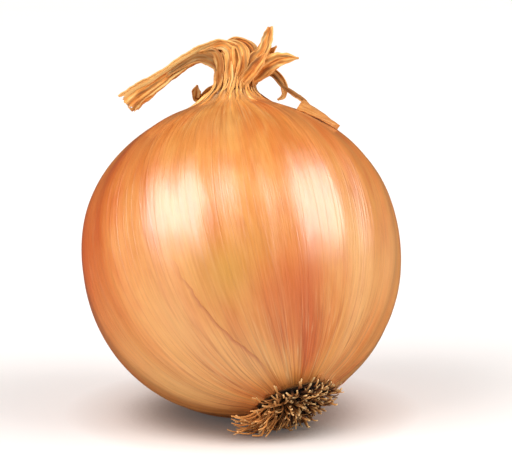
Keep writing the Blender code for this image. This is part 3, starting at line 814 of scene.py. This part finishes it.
def makeLeaf(name, leaf, seed):
    sheet, shares = newSheet(name, leafSheet["across"], leafSheet["along"])
    path = [inNeck(*p) for p in leaf["path"]]
    length = sum((b - a).length for a, b in zip(path, path[1:])) * 1000
    points, grain, wearAndShade = [], [], []
    for u, v in shares:
        a = 2 * u - 1
        rips = 0.6 * noise.noise(Vector((u * 6, seed, 0))) + 0.5 * noise.noise(Vector((u * 17, seed, 3)))
        tear = leaf["rag"] * rips - 0.3 * leaf["rag"]
        share = v * (1 + tear / length * softStep(0.6, 1.0, v))
        point = smoothPath(path, share)
        tangent = (smoothPath(path, min(share + 0.01, 1)) - smoothPath(path, max(share - 0.01, 0))).normalized()
        wide = tangent.cross(neckDepth).normalized()
        back = wide.cross(tangent)
        angle = math.radians(leaf["twist"][0] + (leaf["twist"][1] - leaf["twist"][0]) * v)
        angle += 0.25 * noise.noise(Vector((v * 4, seed, 7)))
        wide, back = wide * math.cos(angle) + back * math.sin(angle), back * math.cos(angle) - wide * math.sin(angle)
        half = between(leaf["half"], v) * (1 + 0.16 * noise.noise(Vector((v * length / 5, seed, 5))))
        edge = 1 + 0.10 * noise.noise(Vector((v * length / 1.3, seed + (3 if a > 0 else 0), 2))) * abs(a)
        crease = 0.26 * math.cos(math.pi * a * leaf["pleats"] + 2.0 * noise.noise(Vector((v * 5, seed, 1))))
        crease *= min(1, half / 1.5)
        dent = 0.30 * noise.noise(Vector((a * 1.4, v * length / 4.5, seed)))
        hollow = leaf["hollow"] * (a * a - 0.4) * min(1.0, half / 2.5)
        points.append(point + (wide * a * half * edge + back * (hollow + crease + dent)) / 1000)
        grain.append((a * half, v * length, seed * 3.1))
        # painted shade: darker in the pleats' hollows, all over leaves that lie in shade and at each leaf's base, with
        # random browning on top
        fold = max(0.0, -crease * 2.2) + 0.5 * max(0.0, noise.noise(Vector((a * 2, v * length / 6, seed + 4))))
        fold = max(fold, leaf.get("paintedShade", 0.0), 0.7 * softStep(0.12, 0.0, v))
        bleach = leaf.get("bleach", 0.0)
        wearAndShade.append((min(0.9, fold) * (1 - 0.6 * bleach), 0.6 * max(abs(a) ** 12, softStep(0.985, 1.0, v)), bleach))
    finishLeaf(sheet, points, grain, wearAndShade, driedLeaf, 70, leafSheet["thickness"])


def makeFlap():
    sheet, shares = newSheet("leaf_shoulderFlap", 40, 60)
    lows, tops = ([inNeck(*p) for p in shoulderFlap[key]] for key in ("low", "top"))
    points, grain, wearAndShade = [], [], []
    for u, v in shares:
        reach = v * (1 + 0.02 * noise.noise(Vector((u * 7, 3.1, 0))))
        reach -= 0.03 * abs(noise.noise(Vector((u * 5, 8.8, 1)))) * (1 - v)
        low, top = smoothPath(lows, reach), smoothPath(tops, reach)
        wide = (top - low).length * 1000
        raised = 0.34 + 0.66 * u + 0.05 * noise.noise(Vector((v * 9, 4.4, 2))) * softStep(0.7, 1.0, u)
        raised += 0.04 * noise.noise(Vector((v * 11, 7.7, 5))) * (1 - u)
        point = low + (top - low) * raised
        outward = (point - centre).normalized()
        resting = ((point - centre).length - shoulderFlap["restRadius"]) * (1 - u) ** 2
        bulge = shoulderFlap["bulge"] * math.sin(math.pi * u) * min(1, wide / 8)
        bulge += 0.18 * noise.noise(Vector((u * 4, v * 6, 2.2)))
        points.append(point + outward * (bulge / 1000 - resting))
        grain.append((u * wide, v * 14, 51.3))
        bent = 0.15 * max(0, noise.noise(Vector((u * 3, v * 4, 9))))
        wearAndShade.append((bent, 0.5 * max(softStep(0.97, 1, u), softStep(0.03, 0, v)), 0.0))
    finishLeaf(sheet, points, grain, wearAndShade, paleLeaf, 70, shoulderFlap["thickness"])


makeStem()
for seed, (name, leaf) in enumerate(leaves.items()):
    makeLeaf(f"leaf_{name}", leaf, seed + 1.37)
makeFlap()
print("neck made")

# dry strands gathered round the stem's foot: each runs from the skin up the stem and ends in a point
footStrands = {
    "count": 46,
    "width": (5, 15),  # degrees of turn
    "low": (-14.0, -4.0),  # mm down the skin
    "high": (1.5, 7.5),  # mm up the stem
    "lift": (0.05, 0.42),
    "ridge": 0.24,
    "bend": 2.6,
    "thickness": 0.00018,
}


# strands take the corner between skin and stem in a smooth bend
def footPoint(up, turn, lift):
    reach = footStrands["bend"]
    if abs(up) >= reach:
        return stemPoint(up, turn, lift)
    t = (up + reach) / (2 * reach)
    low, corner, high = (stemPoint(k, turn, lift) for k in (-reach, 0, reach))
    return low * (1 - t) ** 2 + corner * 2 * t * (1 - t) + high * t * t


def makeStrand(number, rng):
    middle = math.tau * number / footStrands["count"] + rng.uniform(-0.10, 0.10)
    half = math.radians(rng.uniform(*footStrands["width"])) / 2
    low, high = rng.uniform(*footStrands["low"]), rng.uniform(*footStrands["high"])
    lift = rng.uniform(*footStrands["lift"])
    flare, drift = rng.uniform(0.0, 0.5) ** 2, rng.uniform(-0.14, 0.14)
    bleach = rng.uniform(0.0, 0.7)
    sheet, shares = newSheet(f"footStrand_{number + 1}", 10, 40)
    points, grain, wearAndShade = [], [], []
    for u, v in shares:
        a = 2 * u - 1
        tip = high - 2.6 * abs(a) ** 1.4 + 0.8 * noise.noise(Vector((u * 5, number * 3.0, 0)))
        up = low + (tip - low) * v
        narrow = v**1.3 * (1.5 - 0.9 * softStep(0.5, 1.0, v)) + 0.02
        turn = middle + drift * v + half * a * narrow + 0.04 * noise.noise(Vector((v * 4, number * 2.0, 5)))
        out = lift * softStep(0.15, 0.75, v) + flare * v**4 - 0.10 * (1 - v) ** 2
        out += footStrands["ridge"] * (1 - a * a) * softStep(0.1, 0.7, v)
        out += 0.12 * noise.noise(Vector((u * 3, v * 5, number * 1.7))) * v
        points.append(footPoint(up, turn, out))
        grain.append((a * half * 7, up, number * 2.7))
        # painted shade along each strand's edges, where the strands overlap
        wearAndShade.append((0.75 * abs(a) ** 3 * softStep(0.2, 0.7, v), 0.0, bleach * v * v))
    finishLeaf(sheet, points, grain, wearAndShade, driedLeaf, 70, footStrands["thickness"])


strandDice = random.Random(21)
for number in range(footStrands["count"]):
    makeStrand(number, strandDice)
print("foot of the neck made")


# in mm; no root's middle lies below the lowest
rootTuft = {
    "lowest": 0.6,
    "plateRadius": 10.6,
    "plateHeight": 1.4,
    "count": 340,
    "thickness": (0.55, 1.05),
    "length": (4.0, 6.2),
    "steps": 7,
}


def clearOfAll(point, margin):
    away = point - centre
    least = bulb["radius"] + margin
    if away.length < least:
        point = centre + away.normalized() * least
    return Vector((point.x, point.y, max(point.z, rootTuft["lowest"] / 1000)))


def makePlate():
    tube, spots = newTube("rootPlate", 72, 10)
    points, place = [], []
    for turn, share, reach in spots:
        outward = rootSide * math.cos(turn) + rootOther * math.sin(turn)
        wide = rootTuft["plateRadius"] * (1 + 0.05 * math.sin(3 * turn) + 0.03 * math.sin(7 * turn + 1))
        wide *= (0.96 if share < 0.1 else between([1.0, 0.98, 0.92, 0.78, 0.40], share)) if reach > 0.5 else 0.0
        height = rootTuft["plateHeight"] * share
        height += 0.25 * noise.noise(Vector((math.cos(turn) * wide, math.sin(turn) * wide, 3)) * 0.9)
        points.append(centre + rootDirection * (bulb["rootFlat"] + (0.1 + height) / 1000) + outward * wide / 1000)
        age = 0.5 + 0.5 * noise.noise(Vector((wide, turn * 3, share * 4)))
        place.append((age, 0.5, 0.8 * softStep(0.35, 0.0, share)))
    placePoints(tube, points)
    keepPattern(tube, "rootPlace", place)
    finishPiece(tube, rootPlateMatter, "root_tuft")


def rootCurve(number, rng):
    radius = rootTuft["plateRadius"] * 0.97 * math.sqrt((number + 0.5) / rootTuft["count"])
    turn = number * math.radians(137.508) + rng.uniform(-0.3, 0.3)  # by the golden angle
    outward = rootSide * math.cos(turn) + rootOther * math.sin(turn)
    spread = radius / rootTuft["plateRadius"]
    points = [centre + rootDirection * (bulb["rootFlat"] + 0.0012) + outward * radius / 1000]
    heading = rootDirection + outward * (0.25 + 1.1 * spread**2) + Vector([rng.uniform(-0.3, 0.3) for _ in range(3)])
    heading.normalize()
    across = rootDirection.cross(outward)
    sideways = across * rng.uniform(-1.2, 1.2)
    steps = rootTuft["steps"]
    stride = (rng.uniform(*rootTuft["length"]) + 3.0 * spread) * (1 - 0.42 * outward.dot(rootSide)) / steps / 1000
    for k in range(steps):
        wobble = Vector([rng.uniform(-0.5, 0.5) for _ in range(3)])
        curl = sideways * 0.30 + outward * rng.uniform(-0.1, 0.35) - rootDirection * 0.10 * k * spread
        curl += wobble * 0.8
        heading = (heading + curl * 0.5).normalized()
        point = points[-1] + heading * stride
        if k:
            point = clearOfAll(point, 0.0009)
            heading = (point - points[-1]).normalized()
        points.append(point)
    return points, across


def makeRoots():
    rng = random.Random(17)
    model, spots = newTube("rootModel", 5, rootTuft["steps"])
    made = []
    for number in range(rootTuft["count"]):
        curve, across = rootCurve(number, rng)
        thick = rng.uniform(*rootTuft["thickness"]) / 2000
        flat = rng.uniform(0.45, 1.0)
        tan = 0.9 * softStep(1.0, -8.0, (curve[0] - centre).dot(rootSide) * 1000) * rng.uniform(0.4, 1.0)
        own = max(rng.random(), 0.85 * tan)
        root = model.copy()
        root.data = model.data.copy()
        bpy.context.scene.collection.objects.link(root)
        points, place = [], []
        for turn, share, reach in spots:
            k = round(share * rootTuft["steps"])
            tangent = (curve[min(k + 1, len(curve) - 1)] - curve[max(k - 1, 0)]).normalized()
            wide = (across - tangent * tangent.dot(across)).normalized()
            deep = tangent.cross(wide)
            size = thick * (1 - 0.45 * share) * (1 if reach > 0.5 else 0)
            points.append(curve[k] + wide * math.cos(turn) * size + deep * math.sin(turn) * size * flat)
            place.append((share, own, tan * softStep(0.0, 0.3, share)))
        placePoints(root, points)
        keepPattern(root, "rootPlace", place)
        made.append(root)
    bpy.data.objects.remove(model)
    pickNone()
    for root in made:
        root.select_set(True)
    bpy.context.view_layer.objects.active = made[0]
    bpy.ops.object.join()
    tuft = bpy.context.object
    tuft.name = tuft.data.name = "rootTuft"
    finishPiece(tuft, driedRoot, "root_tuft", 80)


makePlate()
makeRoots()
print("roots made")


# a white table lit from below: soft shadows, and little of it shows in the onion's gloss
def tableMaterial(name, look):
    made = bpy.data.materials.new(name)
    made.use_nodes = True
    tree = made.node_tree
    shader = tree.nodes["Principled BSDF"]
    rays = addNode(tree, "ShaderNodeLightPath")
    glow = addNode(tree, "ShaderNodeMapRange", {},
                   {"Value": rays.outputs["Is Glossy Ray"], "To Min": look["glow"], "To Max": 0.0})
    seen = addNode(tree, "ShaderNodeMix", {"data_type": "RGBA"}, {
        "Factor": rays.outputs["Is Glossy Ray"], 6: hexToLinear(look["colour"]), 7: hexToLinear(look["mirrored"])})
    # painted contact shadow: darker where the onion stands close above, as in the photograph
    near = addNode(tree, "ShaderNodeAmbientOcclusion", {"samples": 12}, {"Distance": look["reach"]})
    shade = addNode(tree, "ShaderNodeValToRGB", {"stops": look["shade"]}, {0: near.outputs["AO"]})
    shaded = addNode(tree, "ShaderNodeMix", {"data_type": "RGBA", "blend_type": "MULTIPLY"},
                     {"Factor": 1.0, 6: seen.outputs[2], 7: shade.outputs["Color"]})
    shadedGlow = addNode(tree, "ShaderNodeMath", {"operation": "MULTIPLY"},
                         {0: glow.outputs[0], 1: shade.outputs["Color"]})
    tree.links.new(shaded.outputs[2], shader.inputs["Base Color"])
    shader.inputs["Roughness"].default_value = look["rough"]
    shader.inputs["Emission Color"].default_value = hexToLinear("FFFDFB")
    tree.links.new(shadedGlow.outputs[0], shader.inputs["Emission Strength"])
    return made


pickNone()
bpy.ops.mesh.primitive_plane_add(size=8, location=(0, 0, 0))
floor = bpy.context.object
floor.name = "paleFloor"
floor.data.materials.append(tableMaterial("lit white table", {
    "colour": "E4E0DD", "mirrored": "3C2E24", "rough": 0.9, "glow": 0.24, "reach": 0.023,
    "shade": [(0.26, "98806F"), (0.58, "E9E0DB"), (1.0, "FDFCFC")],
}))

# each box's way runs right, up and towards the camera, as the camera sees it
studio = {
    "elevation": 12.0,
    "distance": 1.0,
    "frameWidth": 0.147,
    "aim": (0.004, 0.0, 0.0525),
    "world": 0.26,
    "glossWorld": 0.035,
    "reach": 4.0,
    "boxes": [
        {"name": "leftBox", "way": (-0.650, 0.520, 0.554), "angle": 38, "radiance": 5.2},
        {"name": "leftSpill", "way": (-0.650, 0.520, 0.554), "angle": 60, "radiance": 1.15},
        {"name": "rightBox", "way": (0.783, 0.5255, 0.332), "angle": 38, "radiance": 4.7},
        {"name": "rightSpill", "way": (0.783, 0.5255, 0.332), "angle": 60, "radiance": 1.1},
    ],
}
tilt = math.radians(studio["elevation"])
cameraRight = Vector((1, 0, 0))
cameraUp = Vector((0, math.sin(tilt), math.cos(tilt)))
cameraBack = Vector((0, -math.cos(tilt), math.sin(tilt)))

for box in studio["boxes"]:
    way = (cameraRight * box["way"][0] + cameraUp * box["way"][1] + cameraBack * box["way"][2]).normalized()
    size = 2 * studio["reach"] * math.tan(math.radians(box["angle"] / 2))
    light = bpy.data.lights.new(box["name"], "AREA")
    light.shape = "SQUARE"
    light.size = size
    light.energy = box["radiance"] * math.pi * size * size
    holder = bpy.data.objects.new(box["name"], light)
    holder.location = centre + way * studio["reach"]
    holder.rotation_euler = way.to_track_quat("Z", "Y").to_euler()
    bpy.context.scene.collection.objects.link(holder)

world = bpy.data.worlds.new("whiteRoom")
world.use_nodes = True
worldRays = addNode(world.node_tree, "ShaderNodeLightPath")
worldGlow = addNode(world.node_tree, "ShaderNodeMapRange", {}, {
    "Value": worldRays.outputs["Is Glossy Ray"], "To Min": studio["world"], "To Max": studio["glossWorld"]})
world.node_tree.nodes["Background"].inputs["Color"].default_value = (1, 1, 1, 1)
world.node_tree.links.new(worldGlow.outputs[0], world.node_tree.nodes["Background"].inputs["Strength"])
bpy.context.scene.world = world

lens = bpy.data.cameras.new("photoCamera")
lens.sensor_width = 36
lens.lens = 36 * studio["distance"] / studio["frameWidth"]
lens.clip_start = 0.01
camera = bpy.data.objects.new("photoCamera", lens)
aim = Vector(studio["aim"])
turned = Matrix((cameraRight, cameraUp, cameraBack)).transposed().to_4x4()
camera.matrix_world = Matrix.Translation(aim + cameraBack * studio["distance"]) @ turned
bpy.context.scene.collection.objects.link(camera)
bpy.context.scene.camera = camera
bpy.context.scene.view_settings.view_transform = "Standard"
print("studio set")
